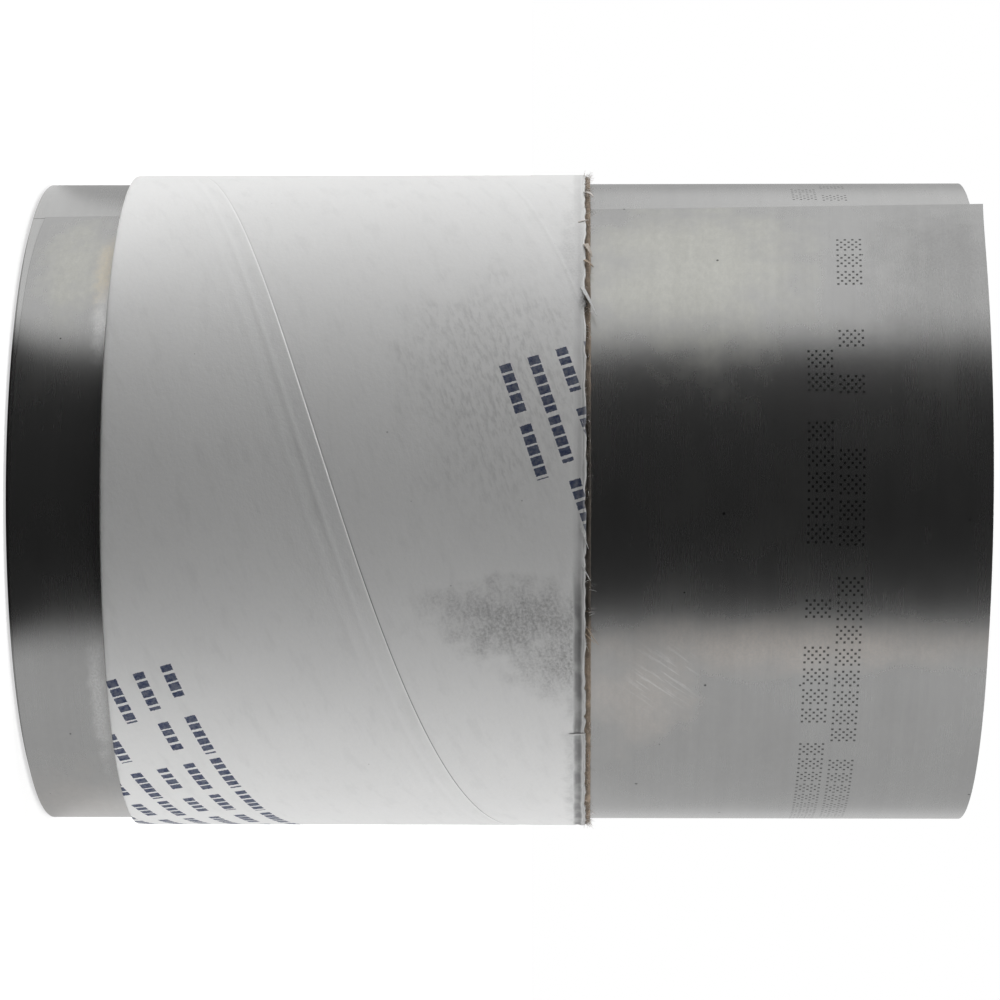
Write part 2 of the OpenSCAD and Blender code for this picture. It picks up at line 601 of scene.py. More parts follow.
def steel_marks(steel):
    """Two sprayed rows of plain dotted blocks along the outer turns, with gaps between them."""
    sprayed_length = 600 * MM
    dot_pitch = 0.6 * MM
    dot_rows = 7.0
    block_height = dot_rows * dot_pitch
    rows = []
    for seed, start, top in ((3.0, 34.0, 127.5), (8.0, 11.0, 132.4)):
        row = {"Start": start * MM, "Repeat": 290 * MM, "Row Length": 200 * MM, "Uneven Dashes": 0.0,
               "Seed": seed}
        dots = {**row, "First Row": top * MM, "Row Pitch": dot_pitch, "Rows": dot_rows,
                "Row Height": 0.37 * MM, "Dash Pitch": 0.65 * MM, "Dash Share": 0.6, "Chequer": 1.0}
        blocks = {**row, "First Row": top * MM - dot_pitch * (dot_rows - 1) / 2, "Row Pitch": block_height,
                  "Row Height": block_height, "Dash Pitch": 3.9 * MM, "Dash Share": 0.83, "Fill": 0.8}
        rows.append(steel.printed(dots, blocks))
    return reduce(Wire.most, rows) * steel.along.below(sprayed_length)


def paper_finish(looks):
    """White face paper over brown board, with rubbed grime, plain printed blocks and a seam darkened by a
    little dirt and painted shade.
    """
    material, tree, shader = new_material("White paper on board", {})
    sheet = mapped_surface(tree, "sheet")
    ribbon = mapped_surface(tree, "ribbon")
    place = add(tree, "ShaderNodeTexCoord")["Object"]
    board = add(tree, "ShaderNodeAttribute", attribute_name="board")["Fac"]
    felt = noise(tree, place, 1500.0, 3.0, 0.7) - 0.5
    cloud = noise(tree, place, 90.0, 3.0) - 0.5
    fibres = ribbon.grain(500.0, 1600.0)
    # The white face
    ragged = (noise(tree, place, 4000.0) - 0.5) * 0.25 * MM
    ink = paper_print(Surface(tree, ribbon.along + ragged, ribbon.across + ragged))
    face = mix_colour(tree, ink * (0.92 + felt * 0.5), looks.paper, looks.ink)
    # The grime colour paints the rubbed grime, and painted shade in the crease, on the torn lip and along the
    # seam.
    face = mix_colour(tree, paper_grime_and_shade(sheet, ribbon), face, looks.grime)
    face = shade(tree, face, 1.0 + felt * 0.05 + cloud * 0.05 + fibres * 0.03)
    # The torn board, with painted shade where it comes out from under the paper, and darker at the front
    streaks = sheet.noise(420.0, 4.0, 0.7).spread(0.3, 0.7, 0.7, 1.45)
    # Painted shade where the board comes out from under the face paper.
    root = board.spread(1.0, 0.75, 0.0, 0.5)
    blackened = sheet.along.spread(-34 * MM, -10 * MM) * sheet.along.spread(23 * MM, 18 * MM) * 0.85
    soiled = Surface(tree, sheet.along, 0.0).noise(75.0, 1.0).spread(0.42, 0.58, 0.0, 0.25)
    core = streaks * (1.0 + fibres * 0.6 + felt * 0.8) * (1.0 - root) * (1.0 - soiled.most(blackened))
    # Both together
    torn = (board + felt * 0.25).spread(0.35, 0.65)
    # Painted shade that darkens the torn end of the face paper, where its lifted edge faces the light.
    lip = board.spread(0.0, 0.2, 0.0, 0.55)
    base = mix_colour(tree, torn, face, shade(tree, looks.board, core))
    # The flake's painted shadow and the lip's painted shade darken the colour here.
    base = shade(tree, base, (1.0 - sheet.patches(FLAKE_SHADOW)) * (1.0 - lip))
    relief = felt * 0.02 + fibres * 0.012 + torn * felt * 0.15
    set_surface(tree, shader, base, 0.62 + torn * 0.25 + felt * 0.1, relief)
    return material


def paper_print(ribbon):
    """Rows of plain dashes along the paper, each cut into blocks."""
    dashes = {"Start": -296.0 * MM, "Repeat": 299.4 * MM, "First Row": 72.7 * MM, "Row Pitch": 4.59 * MM,
              "Rows": 10.0, "Row Height": 1.8 * MM, "Row Length": 73.5 * MM, "Last Row": 0.28,
              "Dash Pitch": 10.5 * MM, "Dash Share": 0.93, "Uneven Dashes": 0.4, "Fill": 0.97, "Seed": 5.0}
    blocks = {**dashes, "Dash Pitch": 1.75 * MM, "Dash Share": 0.84, "Uneven Dashes": 0.2, "Fill": 1.0}
    return ribbon.printed(dashes, blocks)


def paper_grime_and_shade(sheet, ribbon):
    """Metal dust rubbed into the paper, and painted shade in its crease, on its torn lip and along its seam,
    by arcs from the front line, heights and the paper's own run.
    """
    arc, height = sheet.along, sheet.across
    weave = ribbon.grain(500.0, 1500.0).spread(-0.08, 0.16)
    dust = sheet.noise(2000.0, 3.0, 0.7).spread(0.35, 0.65)
    rubbed = sheet.patches(RUBBED) * (0.2 + weave * 0.8)
    smudge = sheet.patches(SMUDGED) * (0.3 + dust * 0.55 + weave * 0.25)
    # The crease below the torn edge gets a dark line, painted shade in the crease with dirt in it, and the
    # lip above it gets painted shade that dims its highlight.
    crease_height = 89.25 * MM
    strayed = height + (sheet.noise(180.0, 3.0) - 0.5) * 0.5 * MM
    line = (strayed - crease_height).size().spread(1.05 * MM, 0.3 * MM)
    line = line * arc.spread(6 * MM, 19 * MM, 0.2, 1.0) * arc.spread(120 * MM, 85 * MM)
    line = line * sheet.noise(300.0, 3.0).spread(0.3, 0.6, 0.7, 1.0)
    # Painted shade on the torn lip, which dims the highlight its upturned edge catches from the light above.
    lip = strayed.spread(89.75 * MM, 90.15 * MM) * arc.spread(-34 * MM, -22 * MM, 0.24, 0.6)
    worn = ribbon.grain(140.0, 420.0, 4.0).spread(0.0, 0.2) * 0.05
    # The dark line along the seam is painted shade on the step's shaded side, strongest past the front line,
    # over a little dirt in the gap.
    seam = (ribbon.across - 0.02 * MM).size().spread(0.20 * MM, 0.05 * MM)
    seam = seam * arc.spread(-8 * MM, 14 * MM, 0.1, 0.75)
    spots = sheet.specks(12.0, 0.012, 0.15) * 0.4
    total = (rubbed * 0.26).most(smudge * 0.62).most(sheet.patches(DIRTY_EDGE)).most(line * 0.84).most(lip)
    return (total + worn).most(seam).most(spots).least(1.0)


def fibre_finish(looks):
    """Torn fibres, from brown board to white paper."""
    material, tree, shader = new_material("Torn fibre", {})
    tint = add(tree, "ShaderNodeAttribute", attribute_name="tint")["Fac"]
    place = add(tree, "ShaderNodeTexCoord")["Object"]
    speckle = noise(tree, place, 3000.0, 2.0) - 0.5
    base = mix_colour(tree, tint.spread(0.1, 0.7), looks.board, looks.paper)
    set_surface(tree, shader, shade(tree, base, 0.9 + speckle * 0.6), 0.8 + speckle * 0.2)
    return material


def studio_light(tree, direction, back_from):
    """The studio's tone in a direction, and whether the camera looks straight at it."""
    tone = use_group(tree, "Studio light", {"Direction": direction, "Back From": back_from})
    return tone, add(tree, "ShaderNodeLightPath")["Is Camera Ray"]


def floor_finish(looks):
    """Pale floor that shows white to the camera and passes the studio's light on to the roll."""
    values = {"Roughness": 0.9, "Specular IOR Level": 0.0, "Emission Strength": 1.0}
    material, tree, shader = new_material("Pale floor", values)
    # A round roll mirrors its surroundings as if they were seen from half-way to its axis.
    focus = (0.0, -ROLL_RADIUS / 2, 0.0)
    place = add(tree, "ShaderNodeTexCoord")["Object"]
    direction = add(tree, "ShaderNodeVectorMath", {0: place, 1: focus}, operation="SUBTRACT")["Vector"]
    tone, seen = studio_light(tree, direction, FLOOR_BACK_FROM)
    plug(tree, mix_colour(tree, seen, (0.0, 0.0, 0.0), looks.floor), shader.inputs["Base Color"])
    plug(tree, mix_colour(tree, seen, tone, looks.glow), shader.inputs["Emission Color"])
    return material


# Shapes


def wound_strip_tree():
    """A strip wound as a spiral of half turns, with its free outer end."""
    inputs = {"Width": 0.1, "Thickness": 0.0004, "Seat Gap": 0.0, "Corner": 0.0, "Outer Radius": 0.05,
              "Winding Angle": 40.0, "End Angle": 0.0, "End Skew": 0.0, "Run-out": 0.0, "Drift": 0.0,
              "Drifting Turns": 6.0, "Wander": 0.0, "Segments": 1000, "Seed": 0.0}
    tree, wire, out = shape_tree("Wound strip", inputs)
    # The path: each half turn is half a thickness smaller, and every second centre is set back by as much.
    line = add(tree, "GeometryNodeCurvePrimitiveLine")["Curve"]
    points = add(tree, "GeometryNodeResampleCurve", {"Curve": line, "Count": wire["Segments"]})["Curve"]
    turned = add(tree, "GeometryNodeSplineParameter")["Factor"] * wire["Winding Angle"]
    half = (turned / math.pi).floor()
    step = wire["Thickness"] / 2.0
    radius = wire["Outer Radius"] - step - half * step
    centre = half.maths("FLOORED_MODULO", 2.0) * step * -1.0
    place = vector(tree, centre + radius * turned.maths("COSINE"), radius * turned.maths("SINE"))
    path = add(tree, "GeometryNodeSetPosition", {"Geometry": points, "Position": place})["Geometry"]
    upright = add(tree, "GeometryNodeSetCurveNormal", {"Curve": path}, mode="Z_UP")["Curve"]
    kept = tree.nodes.new("GeometryNodeCaptureAttribute")
    for name in ("Along", "Turned"):
        kept.capture_items.new("FLOAT", name)
    plug(tree, upright, kept.inputs["Geometry"])
    plug(tree, add(tree, "GeometryNodeSplineParameter")["Length"], kept.inputs["Along"])
    plug(tree, turned, kept.inputs["Turned"])
    spiral, along, turned = (Wire(tree, kept.outputs[name]) for name in ("Geometry", "Along", "Turned"))
    # The section, swept along the path
    section = add(tree, "GeometryNodeCurvePrimitiveQuadrilateral",
                  {"Width": wire["Thickness"] - wire["Seat Gap"], "Height": wire["Width"]})["Curve"]
    eased = add(tree, "GeometryNodeFilletCurve", {"Curve": section, "Count": 1, "Radius": wire["Corner"]},
                mode="POLY")["Curve"]
    swept = add(tree, "GeometryNodeCurveToMesh",
                {"Curve": spiral, "Profile Curve": eased, "Fill Caps": True})["Mesh"]
    # Where each point lies on the flat strip
    position = add(tree, "GeometryNodeInputPosition")["Position"]
    _, _, level = split(tree, position)
    flat = vector(tree, along, level + wire["Width"] / 2.0)
    mapped = add(tree, "GeometryNodeStoreNamedAttribute", {"Geometry": swept, "Name": "strip", "Value": flat},
                 data_type="FLOAT2", domain="CORNER")["Geometry"]
    # The outer end is cut askew and runs up, more steeply close to its tip, and the turns drift and wander.
    even_climb = 0.48
    steep_power = 7.0
    stray_scale = 0.45
    free = (1.0 - turned / (math.pi / 2.0)).most(0.0)
    skew = level * wire["End Skew"].maths("TANGENT") / wire["Outer Radius"] * free * -1.0
    climb = free * even_climb + free.maths("POWER", steep_power) * (1.0 - even_climb)
    turns_left = (wire["Drifting Turns"] + 0.5 - turned / math.tau).most(0.0).least(wire["Drifting Turns"])
    stray = noise(tree, vector(tree, turned * stray_scale, wire["Seed"]), 1.0) * (1.0 - free)
    lift = wire["Width"] / 2.0 + wire["Drift"] * turns_left + wire["Run-out"] * climb + wire["Wander"] * stray
    spun = add(tree, "ShaderNodeVectorRotate", {"Vector": position, "Angle": wire["End Angle"] + skew},
               rotation_type="Z_AXIS")["Vector"]
    lifted = add(tree, "ShaderNodeVectorMath", {0: spun, 1: vector(tree, 0.0, 0.0, lift)},
                 operation="ADD")["Vector"]
    placed = add(tree, "GeometryNodeSetPosition", {"Geometry": mapped, "Position": lifted})["Geometry"]
    plug(tree, sharp_edges(tree, placed, wire["Material"]), out)
    return tree


def sharp_edges(tree, mesh, material, sharp_angle=0.5):
    """Shades a mesh smooth with hard corners kept sharp, makes its instances real and gives its material."""
    smooth = add(tree, "GeometryNodeSetShadeSmooth", {"Geometry": mesh, "Shade Smooth": True},
                 domain="FACE")["Geometry"]
    corner = add(tree, "GeometryNodeInputMeshEdgeAngle")["Unsigned Angle"].above(sharp_angle)
    creased = add(tree, "GeometryNodeSetShadeSmooth",
                  {"Geometry": smooth, "Selection": corner, "Shade Smooth": False}, domain="EDGE")["Geometry"]
    real = add(tree, "GeometryNodeRealizeInstances", {"Geometry": creased})["Geometry"]
    return add(tree, "GeometryNodeSetMaterial", {"Geometry": real, "Material": material})["Geometry"]


def torn_fibre_tree():
    """A bent, tapered fibre on every point of a mesh, turned and sized at random."""
    tree, wire, out = shape_tree("Torn fibres", {"Length": 0.001, "Thickness": 0.0001, "Seed": 0})
    bend = vector(tree, wire["Length"] * 0.25, 0.0, wire["Length"] * 0.5)
    tip = vector(tree, wire["Length"] * 0.55, wire["Length"] * 0.15, wire["Length"] * 0.75)
    arc = add(tree, "GeometryNodeCurveQuadraticBezier",
              {"Resolution": 4, "Start": (0.0, 0.0, 0.0), "Middle": bend, "End": tip})["Curve"]
    ring = add(tree, "GeometryNodeCurvePrimitiveCircle",
               {"Resolution": 4, "Radius": wire["Thickness"] / 2.0})["Curve"]
    taper = 1.0 - add(tree, "GeometryNodeSplineParameter")["Factor"] * 0.75
    fibre = add(tree, "GeometryNodeCurveToMesh",
                {"Curve": arc, "Profile Curve": ring, "Scale": taper, "Fill Caps": True})["Mesh"]

    def chance(kind, low, high, offset):
        node = tree.nodes.new("FunctionNodeRandomValue")
        node.data_type = kind
        sockets = [socket for socket in node.inputs if socket.enabled]
        for value, socket in zip((low, high), sockets):
            plug(tree, value, socket)
        plug(tree, wire["Seed"] + float(offset), node.inputs["Seed"])
        return Wire(tree, next(socket for socket in node.outputs if socket.enabled))

    normal = add(tree, "GeometryNodeInputNormal")["Normal"]
    facing = add(tree, "FunctionNodeAlignRotationToVector", {"Vector": normal}, axis="X",
                 pivot_axis="Z")["Rotation"]
    least_tilt, most_tilt = (-1.5, -1.2, -1.3), (1.5, 0.9, 1.3)
    tilt = chance("FLOAT_VECTOR", least_tilt, most_tilt, 1)
    tumble = add(tree, "FunctionNodeEulerToRotation", {"Euler": tilt})["Rotation"]
    turn = add(tree, "FunctionNodeRotateRotation", {"Rotation": facing, "Rotate By": tumble},
               rotation_space="LOCAL")["Rotation"]
    size = chance("FLOAT", 0.25, 1.0, 2)
    scattered = {"Points": wire["Geometry"], "Instance": fibre, "Rotation": turn, "Scale": size * size}
    spread = add(tree, "GeometryNodeInstanceOnPoints", scattered)["Instances"]
    tinted = add(tree, "GeometryNodeStoreNamedAttribute",
                 {"Geometry": spread, "Name": "tint", "Value": chance("FLOAT", 0.0, 1.0, 3)},
                 data_type="FLOAT", domain="INSTANCE")["Geometry"]
    plug(tree, sharp_edges(tree, tinted, wire["Material"], 2.0), out)
    return tree


def grow(name, mesh, tree, values):
    """Runs a Geometry Nodes tree on a mesh and gives the result as a plain piece."""
    source = link_piece(name + "_source", mesh)
    modifier = source.modifiers.new("Shape", "NODES")
    modifier.node_group = tree
    for item in tree.interface.items_tree:
        if item.in_out == "INPUT" and item.name in values:
            modifier[item.identifier] = values[item.name]
    view = bpy.context.evaluated_depsgraph_get()
    made = bpy.data.meshes.new_from_object(source.evaluated_get(view), preserve_all_data_layers=True,
                                           depsgraph=view)
    bpy.data.objects.remove(source)
    made.name = name
    if not made.polygons:
        raise RuntimeError(f"{name}: the node tree made no faces")
    return link_piece(name, made)


def link_piece(name, mesh):
    """A new object at the origin."""
    piece = bpy.data.objects.new(name, mesh)
    bpy.context.scene.collection.objects.link(piece)
    return piece


def dress(piece, slot, *nodes):
    """Puts a piece on the roll's body and hides the nodes that it stands for. The slot is not used."""
    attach(piece, "root")
    if nodes:
        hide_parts(*nodes)


def winding_angle(sizes):
    """Angle that takes up the whole strip, from the length of a spiral of half turns."""
    middle = sizes.outer_radius - sizes.thickness / 4
    inside = math.sqrt(middle ** 2 - sizes.thickness * sizes.strip_length / math.pi)
    return math.pi * 2 * (middle - inside) / sizes.thickness


def ragged_ring(turn, seed, cells):
    """Random heights round a ring, joined by straight lines, the same on every run."""
    values = np.random.default_rng(seed).normal(size=cells)
    return np.interp(turn, np.linspace(0.0, math.tau, cells, endpoint=False), values, period=math.tau)


def smooth_step(value, low, high):
    """Goes from 0 at low to 1 at high."""
    share = np.clip((value - low) / (high - low), 0.0, 1.0)
    return share * share * (3.0 - 2.0 * share)


# Ridges of the plies under the face paper: height above the seam, rise and width in millimetres
RIDGES = ((-3.0, 0.024, 0.5), (-5.4, 0.016, 0.7), (48.4, 0.024, 0.35), (45.6, 0.014, 0.7))


def seam_relief(from_seam, front_arc, sizes, pitch):
    """Relief of the paper over its seam and the seams of the plies under it, by height above the seam."""
    step_fade = 3.5 * MM
    gap_width = 0.15 * MM
    below = pitch - from_seam
    flat = 1.0 - 0.75 * smooth_step(front_arc, -6 * MM, 14 * MM) * smooth_step(front_arc, 90 * MM, 60 * MM)
    step = sizes.seam_step * flat * np.exp(-below / step_fade) * (from_seam > 0)
    relief = step - sizes.seam_gap * np.exp(-(np.minimum(from_seam, below) / gap_width) ** 2)
    for offset, rise, width in RIDGES:
        relief += rise * MM * np.exp(-((from_seam - (offset * MM) % pitch) / (width * MM)) ** 2)
    return relief


class Ring(NamedTuple):
    """One ring of the sleeve's profile, with how far each kind of relief shows in it."""

    radius: float
    height: float
    paper: float = 0.0
    crease: float = 0.0
    lip: float = 0.0
    torn: float = 0.0
    rough: float = 0.0
    board: float = 0.0


# Rings between the sleeve's body and its torn face paper: millimetres below the paper's end, and how far
# the crease, the lip and the fray show
CREASED_RINGS = ((1.8, 0.2, 0, 0), (1.5, 0.7, 0, 0), (1.25, 1, 0, 0), (1.0, 0.75, 0.1, 0.12),
                 (0.8, 0.2, 0.5, 0.24), (0.55, 0, 1, 0.39), (0.3, 0, 0.9, 0.54))


def sleeve_rings(sizes):
    """The sleeve's closed profile: up the outside, over the torn upper edge and down the inside."""
    inner = sizes.radius - sizes.wall
    face = sizes.radius - sizes.seam_step - sizes.lip
    core = face - sizes.ply
    torn_core = core - 0.06 * MM
    ease = 0.15 * MM
    inside_rows = 12
    low, high = sizes.low, sizes.high
    ply_end = high - sizes.ply_set_back
    body_low, body_high = low + 0.3 * MM, ply_end - 2.1 * MM
    rings = [Ring(inner, low + ease, board=1), Ring(inner + ease, low, board=1), Ring(core, low, board=1),
             Ring(face - ease, low + 0.03 * MM), Ring(face - 0.04 * MM, low + 0.1 * MM, paper=1)]
    for height in np.linspace(body_low, body_high, sizes.rows):
        rings.append(Ring(face, height, paper=1))
    for below, crease, lip, torn in CREASED_RINGS:
        rings.append(Ring(face, ply_end - below * MM, 1, crease, lip, torn))
    rings += [Ring(face - 0.05 * MM, ply_end - 0.12 * MM, paper=1, lip=0.6, torn=1),
              Ring(face - 0.16 * MM, ply_end, paper=0.5, torn=1, board=0.2),
              Ring(torn_core, ply_end + 0.03 * MM, torn=1, board=0.75),
              Ring(torn_core, high - 0.62 * MM, torn=0.5, rough=0.4, board=0.9),
              Ring(torn_core, high - 0.5 * MM, rough=0.8, board=1),
              Ring(core - 0.10 * MM, high - 0.3 * MM, rough=1, board=1),
              Ring(core - 0.22 * MM, high - 0.08 * MM, rough=1, board=1),
              Ring(inner + 0.35 * sizes.wall, high - 0.03 * MM, rough=1, board=1),
              Ring(inner + ease, high - 0.06 * MM, rough=0.4, board=1)]
    for height in np.linspace(high - 2 * ease, low + ease, inside_rows + 2)[:-1]:
        rings.append(Ring(inner, height, board=1))
    return rings


def sleeve_points(sizes, rings, columns, pitch, slope):
    """Points of every ring, with its columns laid along the paper's spiral."""
    grit_out, grit_down = 0.05 * MM, 0.06 * MM
    least_lift = 0.25
    points = []
    for ring in rings:
        arc = (ring.height - sizes.seam_height - columns) / slope
        turn = FRONT_ANGLE + arc / sizes.radius
        front_arc = ((turn - FRONT_ANGLE + math.pi) % math.tau - math.pi) * sizes.radius
        lifted = smooth_step(front_arc, 12 * MM, 22 * MM) * smooth_step(front_arc, 120 * MM, 95 * MM)
        lifted = least_lift + (1.0 - least_lift) * lifted
        fray = 0.6 * ragged_ring(turn, sizes.seed, 70) + 0.8 * ragged_ring(turn, sizes.seed + 1, 420)
        grit = ragged_ring(turn, sizes.seed + 2, 480) + 0.6 * ragged_ring(turn, sizes.seed + 3, 130)
        grit = np.clip(grit, -2.0, 2.0)
        reach = ring.radius + ring.paper * seam_relief(columns, front_arc, sizes, pitch)
        reach += (ring.lip * sizes.lip - ring.crease * sizes.crease) * lifted + ring.rough * grit_out * grit
        level = ring.height + ring.torn * sizes.fray * np.clip(fray, -2.5, 2.0)
        level -= ring.rough * grit_down * np.abs(grit)
        points.append(np.stack((reach * np.cos(turn), reach * np.sin(turn), level), axis=1))
    return np.concatenate(points)


def sleeve_piece(sizes, material):
    """Builds the sleeve's mesh with its two maps: the sheet round the tube and the wound ribbon of paper."""
    slope = math.tan(sizes.helix)
    girth = math.tau * sizes.radius
    pitch = girth * slope
    # Even columns, of which some on each side of the seam are given up for closer ones
    beside_seam = np.array((0.0, 0.05, 0.1, 0.17, 0.27, 0.42, 0.65)) * MM
    given_up = 4
    even = np.linspace(0.0, pitch, sizes.columns, endpoint=False)[given_up:-given_up]
    columns = np.unique(np.concatenate((even, beside_seam, pitch - beside_seam[1:])))
    rings = sleeve_rings(sizes)
    points = sleeve_points(sizes, rings, columns, pitch, slope)
    board = np.repeat([ring.board for ring in rings], len(columns))
    ring_count, column_count = len(rings), len(columns)
    ring, column = np.meshgrid(np.arange(ring_count), np.arange(column_count), indexing="ij")
    ring, column = ring.ravel(), column.ravel()
    corner_rings = np.stack((ring, ring, ring + 1, ring + 1), axis=1) % ring_count
    corner_columns = np.stack((column, column + 1, column + 1, column), axis=1)
    faces = corner_rings * column_count + corner_columns % column_count
    mesh = bpy.data.meshes.new("card_sleeve_dressed")
    mesh.from_pydata(points.tolist(), [], faces[:, ::-1].tolist())
    heights = np.array([ring.height for ring in rings])[corner_rings]
    from_seam = np.append(columns, pitch)[corner_columns]
    arc = (heights - sizes.seam_height - from_seam) / slope
    wrapped = arc - girth * np.round(arc.mean(axis=1, keepdims=True) / girth)
    climb, level = math.sin(sizes.helix), math.cos(sizes.helix)
    maps = {"sheet": (wrapped, heights), "ribbon": (arc * level + heights * climb, from_seam * level)}
    for name, (first, second) in maps.items():
        layer = mesh.uv_layers.new(name=name)
        both = np.stack((first[:, ::-1], second[:, ::-1]), axis=2)
        layer.data.foreach_set("uv", both.astype(np.float32).ravel())
    mesh.attributes.new("board", "FLOAT", "POINT").data.foreach_set("value", board.astype(np.float32))
    mesh.shade_smooth()
    mesh.materials.append(material)
    mesh.validate()
    return link_piece("card_sleeve_dressed", mesh)


def torn_edge_points(sizes, sleeve):
    """Points along the sleeve's torn upper edge, closer together in some stretches than in others."""
    spare_draws = 4
    draw = np.random.default_rng(sizes.seed)
    turn = draw.uniform(0.0, math.tau, spare_draws * sizes.count)
    thick = 0.4 + 0.4 * ragged_ring(turn, sizes.seed + 1, 26)
    turn = turn[draw.uniform(0.0, 1.0, len(turn)) < thick][:sizes.count]
    radius = sleeve.radius - sleeve.ply + draw.uniform(-0.35, 0.1, len(turn)) * MM
    height = sleeve.high - draw.uniform(0.1, 1.3, len(turn)) * MM
    points = np.stack((radius * np.cos(turn), radius * np.sin(turn), height), axis=1)
    mesh = bpy.data.meshes.new("torn_edge_points")
    mesh.from_pydata(points.tolist(), [], [])
    return mesh


# Flakes of paper and board on the torn edge: arc and height of the root and of the tip, width and lift in
# millimetres, and how white the flake is
FLAKES = ((-36.2, 89.9, -30.2, 92.2, 0.60, 0.50, 0.75), (-64.0, 90.4, -60.6, 91.8, 0.70, 0.50, 0.45),
          (-46.2, 90.5, -42.6, 91.5, 0.80, 0.40, 0.35), (-42.2, 90.3, -40.2, 91.7, 0.50, 0.40, 0.20),
          (-52.3, 89.3, -52.8, 91.0, 0.35, 0.15, 0.45), (40.9, 87.8, 40.5, 90.5, 0.32, 0.20, 0.90),
          (20.4, 90.6, 23.2, 92.5, 0.16, 0.35, 0.10), (21.4, 90.4, 22.9, 91.9, 0.14, 0.20, 0.15),
          (4.0, 89.6, 7.6, 90.9, 0.30, 0.10, 0.95), (10.2, 89.9, 12.6, 91.2, 0.22, 0.25, 0.95))


def flake_mesh(sleeve):
    """Thin, tapered, curled flakes that stand off the torn edge."""
    stations = np.linspace(0.0, 1.0, 7)
    thickness = 0.10 * MM
    sunk = 0.2
    curl = 2.2
    taper, taper_power = 0.85, 1.5
    points, faces, tints = [], [], []
    for root_arc, root_height, tip_arc, tip_height, width, lift, tint in FLAKES:
        first = len(points)
        along = Vector((tip_arc - root_arc, tip_height - root_height)).normalized()
        for share in stations:
            half = width / 2 * (1.0 - taper * share ** taper_power)
            for side, layer in ((-1, 0), (1, 0), (1, 1), (-1, 1)):
                arc = root_arc + share * (tip_arc - root_arc) - side * half * along.y
                height = root_height + share * (tip_height - root_height) + side * half * along.x
                radius = sleeve.radius + (lift * math.sin(curl * share) - sunk) * MM + layer * thickness
                turn = FRONT_ANGLE + arc * MM / sleeve.radius
                points.append((radius * math.cos(turn), radius * math.sin(turn), height * MM))
        last = len(points) - 4
        for ring in range(first, last, 4):
            for corner in range(4):
                beside = (corner + 1) % 4
                faces.append((ring + corner, ring + beside, ring + 4 + beside, ring + 4 + corner))
        faces += [(first + 3, first + 2, first + 1, first), (last, last + 1, last + 2, last + 3)]
        tints += [tint] * (len(points) - first)
    mesh = bpy.data.meshes.new("sleeve_torn_flakes")
    mesh.from_pydata(points, [], faces)
    mesh.attributes.new("tint", "FLOAT", "POINT").data.foreach_set("value", tints)
    shell = bmesh.new()
    shell.from_mesh(mesh)
    bmesh.ops.recalc_face_normals(shell, faces=shell.faces)
    shell.to_mesh(mesh)
    shell.free()
    return mesh


def keep_in_box(piece):
    """Bends what would stand out of the object's own box back to it."""
    mesh = piece.data
    points = np.empty(3 * len(mesh.vertices))
    mesh.vertices.foreach_get("co", points)
    points = np.clip(points.reshape(-1, 3), CAD_BOX[0], CAD_BOX[1])
    mesh.vertices.foreach_set("co", points.ravel())
    mesh.update()


# Stage


def floor_mesh(size):
    """A square floor under the roll."""
    half = size / 2
    corners = [(-half, -half, 0), (half, -half, 0), (half, half, 0), (-half, half, 0)]
    mesh = bpy.data.meshes.new("floor")
    mesh.from_pydata(corners, [], [(0, 1, 2, 3)])
    return mesh


def light_studio(scene):
    """Lights the scene from the studio's walls, with a white background for the camera."""
    world = bpy.data.worlds.new("Studio")
    world.use_nodes = True
    scene.world = world
    tree = world.node_tree
    tone, seen = studio_light(tree, add(tree, "ShaderNodeTexCoord")["Generated"], WALLS_BACK_FROM)
    background = tree.nodes["Background"]
    background.inputs["Strength"].default_value = 1.0
    plug(tree, mix_colour(tree, seen, tone, (1.0, 1.0, 1.0)), background.inputs["Color"])


def place_camera(scene, sizes):
    """Looks at the roll from the front, with the camera on its side so that the roll lies in the picture."""
    eye = Vector((0.0, -sizes.camera_distance, sizes.camera_height))
    forward = (Vector((0.0, 0.0, sizes.aim_height)) - eye).normalized()
    up = Vector((-1.0, 0.0, 0.0))
    side = forward.cross(up)
    data = bpy.data.cameras.new("camera")
    data.lens = sizes.lens
    data.sensor_width = 36.0
    camera = bpy.data.objects.new("camera", data)
    camera.matrix_world = Matrix.Translation(eye) @ Matrix((side, up, -forward)).transposed().to_4x4()
    scene.collection.objects.link(camera)
    scene.camera = camera


# Operators


class SHIM_OT_strip_roll(bpy.types.Operator):
    """Wind the steel strip"""

    bl_idname = "shim.strip_roll"
    bl_label = "Strip roll"

    def execute(self, context):
        sizes = context.scene.shim_strip
        total = winding_angle(sizes)
        values = {"Width": sizes.width, "Thickness": sizes.thickness, "Seat Gap": sizes.seat_gap,
                  "Corner": sizes.corner, "Outer Radius": sizes.outer_radius, "Winding Angle": total,
                  "End Angle": sizes.end_angle, "End Skew": sizes.end_skew, "Run-out": sizes.run_out,
                  "Drift": sizes.drift, "Drifting Turns": sizes.drift_turns, "Wander": sizes.wander,
                  "Segments": round(sizes.turn_segments * total / math.tau), "Seed": float(sizes.seed),
                  "Material": steel_finish(context.scene.shim_looks, sizes)}
        piece = grow("steel_strip_roll", bpy.data.meshes.new("strip_source"), wound_strip_tree(), values)
        dress(piece, "steel", "steel_roll")
        return {"FINISHED"}


class SHIM_OT_card_sleeve(bpy.types.Operator):
    """Make the paperboard sleeve"""

    bl_idname = "shim.card_sleeve"
    bl_label = "Card sleeve"

    def execute(self, context):
        piece = sleeve_piece(context.scene.shim_sleeve, paper_finish(context.scene.shim_looks))
        dress(piece, "card", "card_sleeve")
        return {"FINISHED"}


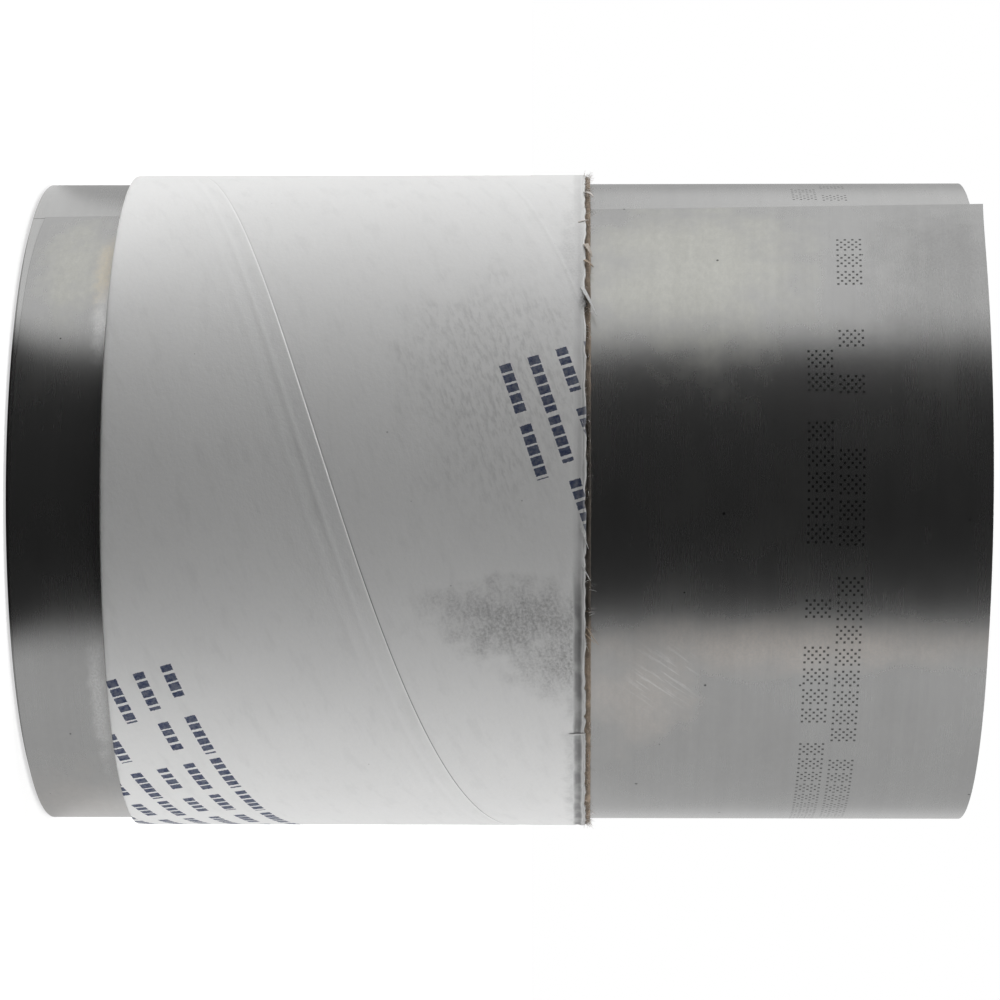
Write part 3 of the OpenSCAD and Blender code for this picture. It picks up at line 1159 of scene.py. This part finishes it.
class SHIM_OT_torn_fibres(bpy.types.Operator):
    """Put torn fibres and flakes on the sleeve's upper edge"""

    bl_idname = "shim.torn_fibres"
    bl_label = "Torn fibres"

    def execute(self, context):
        sizes = context.scene.shim_fibres
        sleeve = context.scene.shim_sleeve
        finish = fibre_finish(context.scene.shim_looks)
        values = {"Length": sizes.fibre_length, "Thickness": sizes.thickness, "Seed": sizes.seed,
                  "Material": finish}
        fibres = grow("sleeve_torn_fibres", torn_edge_points(sizes, sleeve), torn_fibre_tree(), values)
        flakes = link_piece("sleeve_torn_flakes", flake_mesh(sleeve))
        flakes.data.materials.append(finish)
        for piece in (fibres, flakes):
            keep_in_box(piece)
            dress(piece, "card")
        return {"FINISHED"}


class SHIM_OT_stage(bpy.types.Operator):
    """Set the floor, the studio light and the camera"""

    bl_idname = "shim.stage"
    bl_label = "Stage"

    def execute(self, context):
        sizes = context.scene.shim_stage
        mesh = floor_mesh(sizes.floor_size)
        mesh.materials.append(floor_finish(context.scene.shim_looks))
        link_piece("floor", mesh)
        light_studio(context.scene)
        place_camera(context.scene, sizes)
        context.scene.view_settings.view_transform = "Standard"
        return {"FINISHED"}


class SHIM_PT_panel(bpy.types.Panel):
    """Sizes, colours and steps of the shim stock"""

    bl_label = "Shim stock"
    bl_idname = "SHIM_PT_panel"
    bl_space_type = "VIEW_3D"
    bl_region_type = "UI"
    bl_category = "Shim stock"

    def draw(self, context):
        for operator in OPERATORS:
            self.layout.operator(operator.bl_idname)
        for name in SETTINGS:
            group = getattr(context.scene, name)
            box = self.layout.box()
            for item in group.__annotations__:
                box.prop(group, item)


OPERATORS = (SHIM_OT_strip_roll, SHIM_OT_card_sleeve, SHIM_OT_torn_fibres, SHIM_OT_stage)
SETTINGS = {"shim_strip": StripSizes, "shim_sleeve": SleeveSizes, "shim_fibres": FibreSizes,
            "shim_looks": Looks, "shim_stage": StageSizes}
SHARED_EFFECTS = (make_grain_group, make_patch_group, make_speck_group, make_print_group, make_studio_group)


def register():
    """Registers the classes and the scene's settings."""
    for name, group in SETTINGS.items():
        bpy.utils.register_class(group)
        setattr(bpy.types.Scene, name, PointerProperty(type=group))
    for item in (*OPERATORS, SHIM_PT_panel):
        bpy.utils.register_class(item)


def unregister():
    """Takes out what register put in."""
    for item in (SHIM_PT_panel, *reversed(OPERATORS)):
        bpy.utils.unregister_class(item)
    for name, group in reversed(SETTINGS.items()):
        delattr(bpy.types.Scene, name)
        bpy.utils.unregister_class(group)


def main():
    """Builds the shared effects and every piece."""
    register()
    for make_group in SHARED_EFFECTS:
        make_group()
    bpy.ops.shim.strip_roll()
    bpy.ops.shim.card_sleeve()
    bpy.ops.shim.torn_fibres()
    bpy.ops.shim.stage()


if __name__ == "__main__":
    main()
